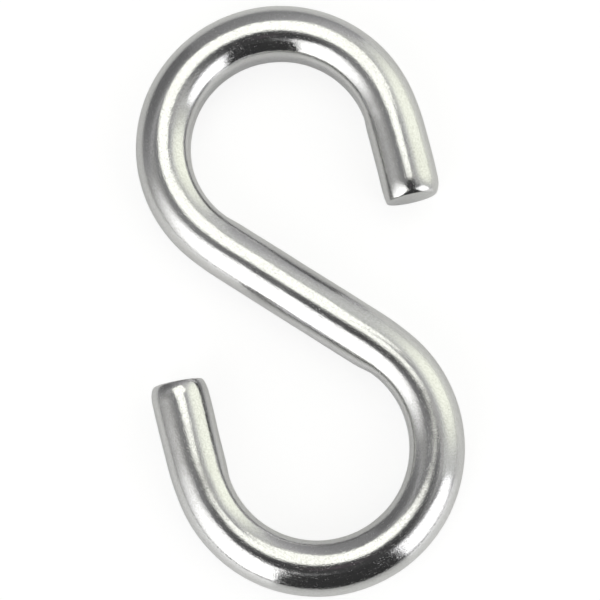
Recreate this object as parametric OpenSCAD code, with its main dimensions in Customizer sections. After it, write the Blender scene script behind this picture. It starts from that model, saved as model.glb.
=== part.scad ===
// S hook: one round steel bar bent cold into two open hooks that face opposite ways.
// It lies on its side, with the bar resting on the plane z = 0. The load line, which runs
// through the middles of both hooks, is the Y axis, and the origin is under the middle of
// the slanting bar between the hooks. The upper hook is the one towards +Y.

/* [Bar] */
// Diameter of the round bar
bar_d = 6; // [3:0.5:10]
// Radius of the tumbled edge around each cut end
end_fillet = 0.7; // [0.1:0.1:1.4]

/* [Hooks] */
// Inside diameter of each hook's bend
eye_d = 18.2; // [12:0.2:30]
// Length of the straight slanting bar between the two bends
middle_l = 20; // [6:0.5:40]
// Angle by which the tips lean outwards from the load line, in degrees
tip_splay = 8.6; // [0:0.2:20]
// Length of the upper hook's straight tip, from the end of its bend
upper_tip_l = 9; // [3:0.5:14]
// Length of the lower hook's straight tip, from the end of its bend
lower_tip_l = 10.1; // [3:0.1:14]

/* [Hidden] */
$fn = 96;
bar_r = bar_d / 2;
// Radius of each bend, to the middle of the bar
bend_r = (eye_d + bar_d) / 2;
// The slanting bar is the inner tangent of the two bends, which sets how steeply it
// crosses the load line
slant = atan2(2 * bend_r, middle_l);
// Each bend turns the bar from the slant past the load line and stops short by the splay
bend_angle = 180 + slant - tip_splay;

// A straight tip of length l along +Z, cut square and tumbled round at its edge
module tip(l) {
    rotate_extrude()
        intersection() {
            square([bar_r, l]);
            union() {
                square([bar_r, l - end_fillet]);
                square([bar_r - end_fillet, l]);
                translate([bar_r - end_fillet, l - end_fillet])
                    circle(r = end_fillet);
            }
        }
}

// A block that holds the whole +Y half of a bend's ring
module half_ring_block() {
    reach = bend_r + bar_d;
    translate([-reach, 0, -bar_d])
        cube([2 * reach, reach, 2 * bar_d]);
}

// The bend of one hook, around its own middle. It is a ring kept from the -X side, where
// the slanting bar ends, clockwise through the bend angle to where the tip starts.
module bend() {
    intersection() {
        rotate_extrude()
            translate([bend_r, 0])
                circle(d = bar_d);
        union() {
            half_ring_block();
            rotate([0, 0, 180 - bend_angle])
                half_ring_block();
        }
    }
}

// One hook, drawn from the far end of a slanting bar that lies along the Y axis
module hook(tip_l) {
    translate([bend_r, middle_l / 2, 0]) {
        bend();
        rotate([0, 0, 180 - bend_angle])
            translate([bend_r, 0, 0])
                rotate([90, 0, 0])
                    tip(tip_l);
    }
}

// The whole bent bar, turned so that both hooks sit on the load line
module s_hook() {
    color("silver")
        translate([0, 0, bar_r])
            rotate([0, 0, slant]) {
                rotate([90, 0, 0])
                    cylinder(d = bar_d, h = middle_l, center = true);
                hook(upper_tip_l);
                rotate([0, 0, 180])
                    hook(lower_tip_l);
            }
}

s_hook();
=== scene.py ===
import math

import bpy
from mathutils import Matrix, Vector


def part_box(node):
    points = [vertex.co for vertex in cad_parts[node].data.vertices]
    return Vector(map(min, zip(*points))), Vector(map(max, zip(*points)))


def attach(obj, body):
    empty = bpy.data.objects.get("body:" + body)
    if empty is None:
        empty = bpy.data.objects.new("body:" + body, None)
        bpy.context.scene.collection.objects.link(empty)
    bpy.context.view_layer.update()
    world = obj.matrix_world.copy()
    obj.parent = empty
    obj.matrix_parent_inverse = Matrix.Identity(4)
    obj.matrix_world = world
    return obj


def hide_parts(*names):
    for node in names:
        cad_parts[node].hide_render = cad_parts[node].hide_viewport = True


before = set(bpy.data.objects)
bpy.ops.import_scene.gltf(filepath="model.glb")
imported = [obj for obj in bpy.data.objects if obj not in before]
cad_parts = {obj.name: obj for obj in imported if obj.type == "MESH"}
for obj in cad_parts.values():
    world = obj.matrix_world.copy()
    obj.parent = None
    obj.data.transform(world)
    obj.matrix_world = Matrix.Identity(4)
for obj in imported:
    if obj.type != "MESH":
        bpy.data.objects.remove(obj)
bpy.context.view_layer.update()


# ---------------------------------------------------------------------------
# Camera. It stands a little to the -Y side of the hook, close above it, and
# looks almost straight down, turned slightly against the load line.

mm = 0.001
camera_height = 180 * mm
camera_roll = math.radians(7.2)
camera_tilt = math.radians(8.36)
camera_pan = math.radians(1.69)
sensor_width = 36.0
view_width_at_bar = 61.48 * mm
aim_right = 0.205 * mm
aim_down = 0.537 * mm
nearest_seen = 10 * mm
farthest_seen = 10000 * mm

hook_low, hook_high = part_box("s_hook")
bar_d = hook_high.z - hook_low.z
bar_centre = Vector((0, 0, bar_d / 2))

camera_upright = Matrix.Rotation(-camera_roll, 3, "Z")
camera_turn = (
    camera_upright
    @ Matrix.Rotation(camera_tilt, 3, "X")
    @ Matrix.Rotation(camera_pan, 3, "Y")
)
camera_place = bar_centre + camera_turn @ Vector((0, 0, camera_height))
aim_point = bar_centre + camera_turn @ Vector((aim_right, -aim_down, 0))
camera_back = (camera_place - aim_point).normalized()
camera_right = (camera_turn @ Vector((0, 1, 0))).cross(camera_back).normalized()
camera_up = camera_back.cross(camera_right)

camera_data = bpy.data.cameras.new("camera")
camera_data.sensor_width = sensor_width
camera_data.lens = sensor_width * camera_height / view_width_at_bar
camera_data.clip_start = nearest_seen
camera_data.clip_end = farthest_seen
camera = bpy.data.objects.new("camera", camera_data)
camera_axes = Matrix((camera_right, camera_up, camera_back)).transposed()
camera.matrix_world = Matrix.Translation(camera_place) @ camera_axes.to_4x4()
bpy.context.scene.collection.objects.link(camera)
bpy.context.scene.camera = camera


# ---------------------------------------------------------------------------
# The S hook. It is one length of round stainless steel bar, cut at both ends,
# tumbled, and bent cold round a pin into two open hooks that face opposite
# ways. The pin presses the inner side of each bend a little flat.

# The bent bar
eye_d = 18.2 * mm
middle_l = 20.0 * mm
tip_splay = math.radians(8.6)
upper_tip_l = 9.05 * mm
lower_tip_l = 10.12 * mm
# Curl of the tips past the bend, in radians per metre
upper_curl = 7.2
lower_curl = 2.5
# How much a tip thins and leans down towards its end, as shares of its size
tip_taper = 0.015
taper_l = 6.0 * mm
tip_lean = 0.04
lean_l = 9.0 * mm
lean_fade = 0.3
# The tumbled edge round each cut end, and the slope of the lower cut
edge_l = 1.75 * mm
top_edge_r = 0.58 * mm
outer_edge_r = 0.68 * mm
upper_inner_edge_r = 0.18 * mm
lower_inner_edge_r = 0.45 * mm
lower_cut_skew = 0.05
# What bending does to the round section, as shares of the bar's radius
bend_squeeze = 0.044
crown_shift = 0.05
side_fullness = 0.139
pin_flat = 0.094
pin_shoulder = 0.19
shoulder_sharpness = 4
shoulder_drop = 0.06
upper_pin_squeeze = 0.012
lower_pin_squeeze = 0.041
# How gently that sets in, and how far the squeeze runs on into the lower tip
bend_fade = 1.9 * mm
lower_run_on = 5.0 * mm
lower_fade = 5.0 * mm
# The faint ripple that the whole bar has
ripple_depth = 0.010
ripple_size = 2.2 * mm
ripple_stretch = 1.6
# How finely the mesh is laid out
ring_step = 0.25 * mm
bar_sides = 96
edge_rings = 12
face_rings = 4
weld_gap = 0.002 * mm
same_share = 0.0001


class Value:
    """A number inside a node tree, so that a shape can be written as sums."""

    def __init__(self, tree, socket):
        self.tree = tree
        self.socket = socket

    def __add__(self, other):
        return calc("ADD", self, other)

    def __sub__(self, other):
        return calc("SUBTRACT", self, other)

    def __rsub__(self, other):
        return calc("SUBTRACT", other, self)

    def __mul__(self, other):
        return calc("MULTIPLY", self, other)

    def __truediv__(self, other):
        return calc("DIVIDE", self, other)

    def __rtruediv__(self, other):
        return calc("DIVIDE", other, self)


def calc(operation, *terms):
    """One Math node, fed by Values or plain numbers."""
    tree = next(term.tree for term in terms if isinstance(term, Value))
    node = tree.nodes.new("ShaderNodeMath")
    node.operation = operation
    for place, term in enumerate(terms):
        if isinstance(term, Value):
            tree.links.new(term.socket, node.inputs[place])
        else:
            node.inputs[place].default_value = term
    return Value(tree, node.outputs[0])


def clamp(value, low, high):
    return calc("MINIMUM", calc("MAXIMUM", value, low), high)


def between(start, end, share):
    """The start where the share is 0, the end where it is 1."""
    return start + (end - start) * share


def soft_step(value, width):
    """0 well below zero, 1 well above it, and a smooth rise over the width."""
    return 1 / (calc("EXPONENT", value * (-4 / width)) + 1)


def point(x, y, z):
    """A position made of three Values."""
    node = x.tree.nodes.new("ShaderNodeCombineXYZ")
    for place, term in enumerate((x, y, z)):
        x.tree.links.new(term.socket, node.inputs[place])
    return node.outputs[0]


def named_inputs(tree, sizes):
    """Adds one float input per name to a node group and returns its Values."""
    entry = tree.nodes.new("NodeGroupInput")
    for name in sizes:
        tree.interface.new_socket(name, in_out="INPUT", socket_type="NodeSocketFloat")
    return {name: Value(tree, entry.outputs[name]) for name in sizes}


def noise(place, stretch, size, detail):
    """Noise on the straight bar. Its marks are size wide and stretch times as long."""
    tree = place.node.id_data
    scale = tree.nodes.new("ShaderNodeVectorMath")
    scale.operation = "MULTIPLY"
    scale.inputs[1].default_value = (1 / (size * stretch), 1 / size, 1 / size)
    tree.links.new(place, scale.inputs[0])
    marks = tree.nodes.new("ShaderNodeTexNoise")
    marks.inputs["Scale"].default_value = 1.0
    marks.inputs["Detail"].default_value = detail
    tree.links.new(scale.outputs["Vector"], marks.inputs["Vector"])
    return Value(tree, marks.outputs["Fac"])


def edge_radius(given, inward, upward, is_upper):
    """The tumbled edge's radius, which differs round the bar and between the two ends."""
    inner_edge = between(given["Lower Inner Edge"], given["Upper Inner Edge"], is_upper)
    edge_r = between(given["Outer Edge"], inner_edge, inward * 0.5 + 0.5)
    topness = calc("MAXIMUM", upward, 0)
    return between(edge_r, given["Top Edge"], topness * topness)


def centre_line(given, reach, is_upper):
    """The point at a distance from the middle of the bar, and how far the bar has turned there."""
    bend_r = given["Bend Radius"]
    turn = clamp((reach - given["Half Middle"]) / bend_r, 0, given["Bend Angle"])
    past = calc("MAXIMUM", reach - given["Bend End"], 0)
    cos_turn = calc("COSINE", turn)
    sin_turn = calc("SINE", turn)
    x = bend_r * (1 - cos_turn) + past * sin_turn
    y = calc("MINIMUM", reach, given["Half Middle"]) + bend_r * sin_turn + past * cos_turn

    # Past the bend the tip still curls in a little
    curl = between(given["Lower Curl"], given["Upper Curl"], is_upper)
    swing = past * past * curl * 0.5
    return x + swing * cos_turn, y - swing * sin_turn, turn + past * curl


def bent_section(given, reach, inward, upward, is_upper):
    """A circle of radius 1. A bend squeezes it, moves its crown towards the pin and fills out
    its shoulders, and the pin presses on its inner side."""
    past_middle = soft_step(reach - given["Half Middle"], bend_fade)
    bent = past_middle * soft_step(given["Bend End"] - reach, bend_fade)
    pinched = past_middle * soft_step(given["Bend End"] + lower_run_on - reach, lower_fade)
    pinched = pinched * (1 - is_upper) * given["Lower Pin Squeeze"]
    pinched = pinched + bent * is_upper * given["Upper Pin Squeeze"]
    pin_side = calc("MAXIMUM", inward, 0)
    fullness = inward * given["Side Fullness"] + inward * inward * given["Pin Flat"]
    fullness = fullness + calc("POWER", pin_side, shoulder_sharpness) * given["Pin Shoulder"]
    filled = upward * upward * (fullness + given["Crown Shift"])
    inset = inward + bent * (filled - inward * given["Bend Squeeze"]) - pinched * pin_side
    height = upward * (1 - bent * given["Shoulder Drop"] * inward * inward)
    return inset, height


def then(source, kind):
    """The next node of the row that hands the mesh on."""
    tree = source.id_data
    node = tree.nodes.new(kind)
    tree.links.new(source.outputs[0], node.inputs["Geometry"])
    return node


def bent_bar_tree(sizes, finish):
    """A grid of rings and sides, laid along the bar's bent centre line."""
    tree = bpy.data.node_groups.new("bent bar", "GeometryNodeTree")
    given = named_inputs(tree, sizes)
    tree.interface.new_socket("Geometry", in_out="OUTPUT", socket_type="NodeSocketGeometry")
    given["Half Middle"] = given["Middle Length"] / 2
    given["Bend End"] = given["Half Middle"] + given["Bend Radius"] * given["Bend Angle"]
    upper_end = given["Bend End"] + given["Upper Tip"]
    lower_end = given["Bend End"] + given["Lower Tip"]
    bar_r = given["Bar Diameter"] / 2

    # Each grid point has a ring number and a side number
    end_rings = edge_rings + face_rings
    ring_points = bar_sides + 1
    ring_total = given["Body Rings"] + (2 * end_rings + 1)
    grid = tree.nodes.new("GeometryNodeMeshGrid")
    tree.links.new(ring_total.socket, grid.inputs["Vertices X"])
    grid.inputs["Vertices Y"].default_value = ring_points
    number = Value(tree, tree.nodes.new("GeometryNodeInputIndex").outputs[0])
    ring = calc("FLOOR", (number + 0.5) / ring_points)
    side = number - ring * ring_points

    # Distance along the bar, with 0 in the middle and the lower hook below it
    body_share = clamp(ring - end_rings, 0, given["Body Rings"]) / given["Body Rings"]
    low_run = given["Edge Length"] - lower_end
    high_run = upper_end - given["Edge Length"]
    run = between(low_run, high_run, body_share)
    hook_sign = 1 - calc("LESS_THAN", run, 0) * 2
    is_upper = hook_sign * 0.5 + 0.5
    around = side * (2 * math.pi / bar_sides)
    inward = calc("COSINE", around) * hook_sign
    upward = calc("SINE", around)

    # Rings at the two ends run over the tumbled edge and in across the cut face
    from_end = calc("MINIMUM", ring, ring_total - 1 - ring)
    face_share = clamp(from_end / face_rings, 0, 1)
    edge_turn = clamp((from_end - face_rings) / edge_rings, 0, 1) * (math.pi / 2)
    edge_r = edge_radius(given, inward, upward, is_upper)
    ring_r = (bar_r - edge_r + edge_r * calc("SINE", edge_turn)) * face_share
    end_sign = calc("SIGN", body_share - 0.5)
    at_end = calc("COMPARE", calc("ABSOLUTE", body_share - 0.5), 0.5, same_share)
    run = run + end_sign * at_end * (given["Edge Length"] * calc("COSINE", edge_turn))
    reach = calc("ABSOLUTE", run)

    # A tip thins and leans down towards its end, and the lower cut isn't quite square
    from_tip = reach - between(lower_end, upper_end, is_upper)
    near_end = clamp(from_tip / given["Taper Length"] + 1, 0, 1)
    ring_r = ring_r * (1 - near_end * near_end * given["Tip Taper"])
    lean_share = calc("SMOOTH_MAX", from_tip / given["Lean Length"] + 1, 0, lean_fade)
    lean = 1 - lean_share * given["Tip Lean"]
    skew = given["Lower Cut Skew"] * (1 - is_upper)
    reach = reach - at_end * skew * inward * ring_r

    # The section, first on the straight bar and then on the bent one
    inset, height = bent_section(given, reach, inward, upward, is_upper)
    in_plane = ring_r * inset * hook_sign
    upright = ring_r * height
    straight_place = point(run, in_plane, upright)
    swell = 1 - noise(straight_place, ripple_stretch, ripple_size, 0) * given["Ripple"]
    centre_x, centre_y, turn = centre_line(given, reach, is_upper)
    local_x = centre_x * hook_sign + in_plane * swell * calc("COSINE", turn)
    local_y = centre_y * hook_sign - in_plane * swell * calc("SINE", turn)
    cos_slant = calc("COSINE", given["Slant"])
    sin_slant = calc("SINE", given["Slant"])
    x = local_x * cos_slant - local_y * sin_slant
    y = local_x * sin_slant + local_y * cos_slant
    bent_place = point(x, y, (upright * swell + bar_r) * lean)

    # The place on the straight bar stays with each point, and carries the finish
    store = then(grid, "GeometryNodeStoreNamedAttribute")
    store.data_type = "FLOAT_VECTOR"
    store.domain = "POINT"
    store.inputs["Name"].default_value = "straight_bar"
    tree.links.new(straight_place, store.inputs["Value"])
    bend = then(store, "GeometryNodeSetPosition")
    tree.links.new(bent_place, bend.inputs["Position"])
    weld = then(bend, "GeometryNodeMergeByDistance")
    weld.inputs["Distance"].default_value = weld_gap
    smooth = then(weld, "GeometryNodeSetShadeSmooth")
    real = then(smooth, "GeometryNodeRealizeInstances")
    paint = then(real, "GeometryNodeSetMaterial")
    paint.inputs["Material"].default_value = finish
    then(paint, "NodeGroupOutput")
    return tree


# The finish of the steel
clean_steel = (0.57, 0.57, 0.58, 1.0)
dull_steel = (0.46, 0.456, 0.45, 1.0)
edge_tint = (0.85, 0.85, 0.85, 1.0)
peel_size = 0.9 * mm
line_width = 0.11 * mm
grain_size = 0.12 * mm
pit_size = 0.2 * mm
stain_size = 2.6 * mm
relief_depth = 0.001 * mm


def ramp(value, start, end, low=0.0, high=1.0, curve="SMOOTHSTEP"):
    """Carries a value from start..end over to low..high, smoothly and no further."""
    node = value.tree.nodes.new("ShaderNodeMapRange")
    node.interpolation_type = curve
    for place, number in enumerate((start, end, low, high)):
        node.inputs[place + 1].default_value = number
    value.tree.links.new(value.socket, node.inputs["Value"])
    return Value(value.tree, node.outputs["Result"])


def polished_steel():
    """Stainless bar as it leaves the tumbler: bright, with faint drawn lines and fine pits."""
    steel = bpy.data.materials.new("polished_steel")
    steel.use_nodes = True
    tree = steel.node_tree
    shader = tree.nodes["Principled BSDF"]
    shader.inputs["Metallic"].default_value = 1.0
    shader.inputs["Specular Tint"].default_value = edge_tint
    bar_place = tree.nodes.new("ShaderNodeAttribute")
    bar_place.attribute_name = "straight_bar"
    place = bar_place.outputs["Vector"]

    peel = noise(place, stretch=1.6, size=peel_size, detail=1)
    drawn = noise(place, stretch=8.0, size=line_width, detail=2)
    grain = noise(place, stretch=1.2, size=grain_size, detail=2)
    streaks = ramp(noise(place, stretch=7.0, size=line_width, detail=1), 0.48, 0.68)
    specks = ramp(noise(place, stretch=1.2, size=grain_size, detail=1), 0.54, 0.66)
    pits = ramp(noise(place, stretch=1.4, size=pit_size, detail=1), 0.60, 0.72)
    stain = noise(place, stretch=3.0, size=stain_size, detail=3)

    # The relief, in thousandths of a millimetre
    height = peel * 6.0 + drawn * 4.0 + grain * 5.8 - pits * 2.0
    relief = tree.nodes.new("ShaderNodeBump")
    relief.inputs["Distance"].default_value = relief_depth
    tree.links.new(height.socket, relief.inputs["Height"])
    tree.links.new(relief.outputs["Normal"], shader.inputs["Normal"])

    # Streaks, specks and pits are duller than the polish between them
    rough = ramp(stain, 0.35, 0.7, 0.055, 0.08) + streaks * 0.10 + specks * 0.12 + pits * 0.09
    tree.links.new(rough.socket, shader.inputs["Roughness"])

    # The tone varies between clean and dull steel
    tone = tree.nodes.new("ShaderNodeMix")
    tone.data_type = "RGBA"
    tone.inputs["A"].default_value = clean_steel
    tone.inputs["B"].default_value = dull_steel
    dull = ramp(stain, 0.45, 0.8, 0.0, 0.4) + ramp(grain, 0.35, 0.65, 0.0, 0.6) + pits * 0.3
    tree.links.new(dull.socket, tone.inputs["Factor"])
    tree.links.new(tone.outputs["Result"], shader.inputs["Base Color"])
    return steel


def made_mesh(name, tree, sizes):
    """Runs a node tree once and keeps its result as a plain mesh object."""
    blank = bpy.data.objects.new(name, bpy.data.meshes.new(name))
    bpy.context.scene.collection.objects.link(blank)
    modifier = blank.modifiers.new("shape", "NODES")
    modifier.node_group = tree
    for item in tree.interface.items_tree:
        if item.in_out == "INPUT":
            modifier[item.identifier] = float(sizes[item.name])
    ready = blank.evaluated_get(bpy.context.evaluated_depsgraph_get())
    mesh = bpy.data.meshes.new_from_object(ready)
    blank.modifiers.clear()
    blank.data = mesh
    return blank


bend_r = (eye_d + bar_d) / 2
slant = math.atan2(2 * bend_r, middle_l)
bend_angle = math.pi + slant - tip_splay
bar_length = middle_l + 2 * bend_r * bend_angle + upper_tip_l + lower_tip_l
sizes = {
    "Bar Diameter": bar_d,
    "Bend Radius": bend_r,
    "Middle Length": middle_l,
    "Bend Angle": bend_angle,
    "Slant": slant,
    "Upper Tip": upper_tip_l,
    "Lower Tip": lower_tip_l,
    "Upper Curl": upper_curl,
    "Lower Curl": lower_curl,
    "Lower Cut Skew": lower_cut_skew,
    "Tip Taper": tip_taper,
    "Taper Length": taper_l,
    "Tip Lean": tip_lean,
    "Lean Length": lean_l,
    "Edge Length": edge_l,
    "Top Edge": top_edge_r,
    "Outer Edge": outer_edge_r,
    "Upper Inner Edge": upper_inner_edge_r,
    "Lower Inner Edge": lower_inner_edge_r,
    "Bend Squeeze": bend_squeeze,
    "Crown Shift": crown_shift,
    "Side Fullness": side_fullness,
    "Pin Flat": pin_flat,
    "Pin Shoulder": pin_shoulder,
    "Upper Pin Squeeze": upper_pin_squeeze,
    "Lower Pin Squeeze": lower_pin_squeeze,
    "Shoulder Drop": shoulder_drop,
    "Ripple": ripple_depth,
    "Body Rings": round(bar_length / ring_step),
}
steel = polished_steel()
bent_bar = made_mesh("bent_bar", bent_bar_tree(sizes, steel), sizes)
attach(bent_bar, "root")
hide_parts("s_hook")


# ---------------------------------------------------------------------------
# Light tent. A box of translucent cloth stands round the hook, turned against
# the camera. Lamps outside make the cloth glow in broad spots, and the near
# side is partly open to a dark room.

tent_turn = math.radians(31.0) - camera_roll
tent_half = 700 * mm
tent_near = -630 * mm
tent_far = 420 * mm
tent_back = 900 * mm
tent_h = 1300 * mm


def even_cloth(name, colour):
    """A surface that shows one even colour, whatever light falls on it."""
    cloth = bpy.data.materials.new(name)
    cloth.use_nodes = True
    nodes = cloth.node_tree.nodes
    nodes.clear()
    glow = nodes.new("ShaderNodeEmission")
    glow.inputs["Color"].default_value = (*colour, 1.0)
    out = nodes.new("ShaderNodeOutputMaterial")
    cloth.node_tree.links.new(glow.outputs["Emission"], out.inputs["Surface"])
    return cloth


def lit_cloth(name, outer, inner, spot, reach, tall=1.0):
    """Cloth that a lamp or a shadow behind it tints round one spot, tall times as high as wide.
    The inner colour holds up to the first reach, and the outer colour from the second."""
    cloth = even_cloth(name, outer)
    nodes = cloth.node_tree.nodes
    links = cloth.node_tree.links
    place = nodes.new("ShaderNodeTexCoord")
    squeeze = nodes.new("ShaderNodeMapping")
    squeeze.inputs["Scale"].default_value = (1, 1, 1 / tall)
    links.new(place.outputs["Object"], squeeze.inputs["Vector"])
    away = nodes.new("ShaderNodeVectorMath")
    away.operation = "DISTANCE"
    away.inputs[1].default_value = (spot.x, spot.y, spot.z / tall)
    links.new(squeeze.outputs["Vector"], away.inputs[0])
    distance = Value(cloth.node_tree, away.outputs["Value"])
    innerness = ramp(distance, reach[0], reach[1], 1.0, 0.0, curve="SMOOTHERSTEP")
    blend = nodes.new("ShaderNodeMix")
    blend.data_type = "RGBA"
    blend.inputs["A"].default_value = (*outer, 1.0)
    blend.inputs["B"].default_value = (*inner, 1.0)
    links.new(innerness.socket, blend.inputs["Factor"])
    links.new(blend.outputs["Result"], nodes["Emission"].inputs["Color"])
    return cloth


def sheet(name, corners, finish, seen=False):
    """A flat sheet that the steel mirrors. The camera itself sees it only when told to."""
    mesh = bpy.data.meshes.new(name)
    mesh.from_pydata(corners, [], [range(len(corners))])
    mesh.materials.append(finish)
    face = bpy.data.objects.new(name, mesh)
    bpy.context.scene.collection.objects.link(face)
    face.visible_camera = seen
    return face


def tent_point(x, y, z):
    """A point in the tent's own axes, brought into the hook's axes."""
    return Matrix.Rotation(tent_turn, 3, "Z") @ Vector((x, y, z))


def tent_sheet(name, corners, finish):
    sheet(name, [tent_point(*corner) for corner in corners], finish)


def wall(name, start, end, height, finish):
    """An upright sheet from one (x, y) to another, in the tent's own axes."""
    tent_sheet(name, [(*start, 0), (*end, 0), (*end, height), (*start, height)], finish)


near_right = (tent_half, tent_near)
near_left = (-tent_half, tent_near)
back_right = (tent_half, tent_back)
back_left = (-tent_half, tent_back)

# The right wall is cream, with a tall glow
cream_cloth = lit_cloth(
    "cream_cloth", outer=(0.88, 0.89, 0.86), inner=(1.66, 1.70, 1.475),
    spot=tent_point(tent_half, -30 * mm, 330 * mm), reach=(40 * mm, 560 * mm), tall=1.8,
)
wall("right_wall", near_right, back_right, tent_h, cream_cloth)

# The left wall stops short of the near corner
left_end = (-tent_half, -600 * mm)
white_cloth = lit_cloth(
    "white_cloth", outer=(0.48, 0.48, 0.465), inner=(2.6, 2.6, 2.55),
    spot=tent_point(-tent_half, -570 * mm, 540 * mm), reach=(330 * mm, 1150 * mm),
)
wall("left_wall", back_left, left_end, tent_h, white_cloth)

# A cut piece of cloth lies level, half way up on the left
lean_h = 600 * mm
lean_edge = [
    (-400, 130), (-354, 101), (-306, 5), (-267, -66), (-262, -139), (-257, -227), (-450, -385)
]
lean_cloth = lit_cloth(
    "lean_cloth", outer=(0.5, 0.5, 0.49), inner=(2.1, 2.1, 2.05),
    spot=tent_point(-400 * mm, -250 * mm, lean_h), reach=(100 * mm, 480 * mm),
)
tent_sheet("left_lean", [(x * mm, y * mm, lean_h) for x, y in lean_edge], lean_cloth)

# A flap closes the right part of the near side, and the dark room shows beside it
flap_edge = (100 * mm, tent_near)
flap_cloth = lit_cloth(
    "flap_cloth", outer=(0.3, 0.3, 0.3), inner=(2.3, 2.3, 2.3),
    spot=tent_point(300 * mm, tent_near, 470 * mm), reach=(300 * mm, 720 * mm),
)
wall("front_flap", flap_edge, near_right, tent_h, flap_cloth)
# The same dark colour also paints shade on the table's near part, and only the steel mirrors that
# shade.
dark_room_and_shade = even_cloth("dark_room_and_shade", (0.052, 0.052, 0.052))
wall("front_opening", left_end, flap_edge, tent_h, dark_room_and_shade)

# The far side has two cloths, each with a low wall and a slope above it
far_seam = -30 * mm
far_wall_h = 325 * mm
grey_cloth = lit_cloth(
    "grey_cloth", outer=(0.34, 0.34, 0.34), inner=(0.74, 0.74, 0.735),
    spot=tent_point(tent_half, tent_far, 500 * mm), reach=(0, 860 * mm),
)
shade_cloth = lit_cloth(
    "shade_cloth", outer=(0.56, 0.56, 0.555), inner=(0.23, 0.23, 0.23),
    spot=tent_point(-60 * mm, tent_far, 100 * mm), reach=(0, 900 * mm),
)
far_cloths = [
    ("far_right", tent_half, far_seam, grey_cloth),
    ("far_left", far_seam, -tent_half, shade_cloth),
]
for name, start, end, cloth in far_cloths:
    wall(name + "_wall", (start, tent_far), (end, tent_far), far_wall_h, cloth)
    slope_corners = [
        (start, tent_far, far_wall_h), (end, tent_far, far_wall_h),
        (end, tent_back, tent_h), (start, tent_back, tent_h),
    ]
    tent_sheet(name + "_slope", slope_corners, cloth)

# The roof is a little brighter on the right
roof_cloth = lit_cloth(
    "roof_cloth", outer=(0.36, 0.36, 0.36), inner=(0.7, 0.7, 0.68),
    spot=tent_point(tent_half, 0, tent_h), reach=(300 * mm, 800 * mm),
)
roof_corners = [(*corner, tent_h) for corner in (near_left, near_right, back_right, back_left)]
tent_sheet("roof", roof_corners, roof_cloth)


# ---------------------------------------------------------------------------
# What hangs over the hook: a round softbox, the camera's body, lens and stand,
# and a small card. Each is a disc that faces the hook. Its place is given as
# degrees from straight above, degrees round to a side, and a distance.

disc_points = 64
softbox_place = (26.0, 95.0, 1100 * mm)
softbox_r = 500 * mm
body_place = (21.0, -70.0, 500 * mm)
body_r = 97 * mm
lens_place = (13.5, -84.0, 480 * mm)
lens_r = 29 * mm
stand_place = (15.0, -85.0, 1200 * mm)
stand_r = 520 * mm
card_place = (23.5, 44.0, 273 * mm)
card_r = 29 * mm
# Size and height of the sheet of painted shade on the table, which only the steel mirrors
shade_sheet_half = 700 * mm
shade_sheet_edge = -85 * mm
shade_sheet_h = 0.1 * mm


def overhead(place, x=0, y=0):
    """The middle of a disc at this place, or a point beside it on the disc."""
    from_above, round_to, distance = place
    aside = Matrix.Rotation(math.radians(round_to) - camera_roll, 3, "Z")
    down = Matrix.Rotation(math.radians(from_above), 3, "Y")
    return aside @ down @ Vector((x, y, distance))


def disc(name, place, radius, finish):
    angles = [2 * math.pi * step / disc_points for step in range(disc_points)]
    rim = [overhead(place, radius * math.cos(angle), radius * math.sin(angle)) for angle in angles]
    sheet(name, rim, finish)


softbox_cloth = lit_cloth(
    "softbox_cloth", outer=(0.4, 0.4, 0.385), inner=(2.0, 2.02, 1.86),
    spot=overhead(softbox_place), reach=(372 * mm, softbox_r),
)
disc("softbox", softbox_place, softbox_r, softbox_cloth)
disc("camera_body", body_place, body_r, even_cloth("body_black", (0.075, 0.075, 0.075)))
disc("camera_lens", lens_place, lens_r, even_cloth("coated_glass", (0.15, 0.12, 0.14)))
dusk = lit_cloth(
    "dusk", outer=(0.32, 0.32, 0.32), inner=(0.08, 0.08, 0.08),
    spot=overhead(stand_place), reach=(195 * mm, 480 * mm),
)
disc("camera_stand", stand_place, stand_r, dusk)
card_fabric = lit_cloth(
    "shade_fabric", outer=(0.85, 0.85, 0.83), inner=(0.5, 0.5, 0.5),
    spot=overhead(card_place), reach=(12 * mm, 31 * mm),
)
disc("shade_card", card_place, card_r, card_fabric)

# A sheet of painted shade lies on the table's near part. The camera doesn't see it, it darkens the
# table as the steel mirrors it, and it casts no shadow.
shade_sheet_corners = [
    (-shade_sheet_half, -shade_sheet_half), (shade_sheet_half, -shade_sheet_half), (shade_sheet_half, shade_sheet_edge), (-shade_sheet_half, shade_sheet_edge)
]
painted_shade_sheet = sheet("painted_shade_sheet", [camera_upright @ Vector((x, y, shade_sheet_h)) for x, y in shade_sheet_corners], dark_room_and_shade)
painted_shade_sheet.visible_diffuse = False
painted_shade_sheet.visible_shadow = False


# ---------------------------------------------------------------------------
# Table. A plain white top with a thin gloss, which keeps the hook's shadow. It
# shows white to the camera and in the steel.

table_half = 900 * mm
table_glow = 0.83
table_glow_in_steel = 0.08
table_paint = 0.2
more_paint_in_steel = 0.72
gloss_roughness = 0.05
gloss_ior = 1.5


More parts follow.
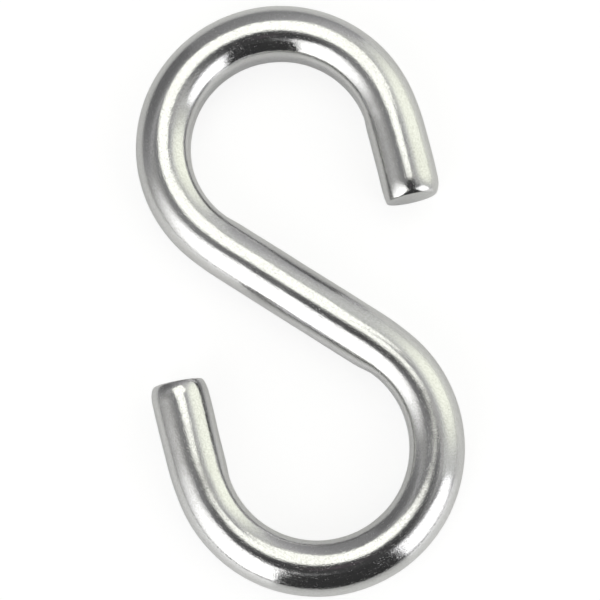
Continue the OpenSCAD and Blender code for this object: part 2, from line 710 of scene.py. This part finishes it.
def table_top():
    """White paint under a gloss that only the steel mirrors."""
    white = bpy.data.materials.new("table_white")
    white.use_nodes = True
    tree = white.node_tree
    nodes = tree.nodes
    links = tree.links
    nodes.clear()
    ray = nodes.new("ShaderNodeLightPath")
    to_camera = Value(tree, ray.outputs["Is Camera Ray"])
    in_steel = Value(tree, ray.outputs["Is Glossy Ray"])
    in_glass = Value(tree, ray.outputs["Is Transmission Ray"])

    paint = nodes.new("ShaderNodeBsdfDiffuse")
    links.new((in_steel * more_paint_in_steel + table_paint).socket, paint.inputs["Color"])
    glow = nodes.new("ShaderNodeEmission")
    strength = to_camera * table_glow + in_steel * table_glow_in_steel + in_glass * table_glow
    links.new(strength.socket, glow.inputs["Strength"])
    painted = nodes.new("ShaderNodeAddShader")
    links.new(paint.outputs["BSDF"], painted.inputs[0])
    links.new(glow.outputs["Emission"], painted.inputs[1])

    gloss = nodes.new("ShaderNodeBsdfGlossy")
    gloss.inputs["Roughness"].default_value = gloss_roughness
    sheen = nodes.new("ShaderNodeFresnel")
    sheen.inputs["IOR"].default_value = gloss_ior
    glossy = nodes.new("ShaderNodeMixShader")
    links.new((Value(tree, sheen.outputs["Fac"]) * in_steel).socket, glossy.inputs["Fac"])
    links.new(painted.outputs["Shader"], glossy.inputs[1])
    links.new(gloss.outputs["BSDF"], glossy.inputs[2])
    out = nodes.new("ShaderNodeOutputMaterial")
    links.new(glossy.outputs["Shader"], out.inputs["Surface"])
    return white


table_corners = [(x * table_half, y * table_half, 0) for x, y in ((-1, -1), (1, -1), (1, 1), (-1, 1))]
sheet("floor", table_corners, table_top(), seen=True)


# ---------------------------------------------------------------------------
# World. Plain white behind the table, and the dull light of the room.

room_light = 0.35
backdrop_light = 1.0
world = bpy.data.worlds.new("studio")
world.use_nodes = True
room = world.node_tree.nodes["Background"]
room.inputs["Color"].default_value = (1.0, 1.0, 1.0, 1.0)
ray = world.node_tree.nodes.new("ShaderNodeLightPath")
to_camera = Value(world.node_tree, ray.outputs["Is Camera Ray"])
room_level = to_camera * (backdrop_light - room_light) + room_light
world.node_tree.links.new(room_level.socket, room.inputs["Strength"])
bpy.context.scene.world = world
bpy.context.scene.view_settings.view_transform = "Standard"
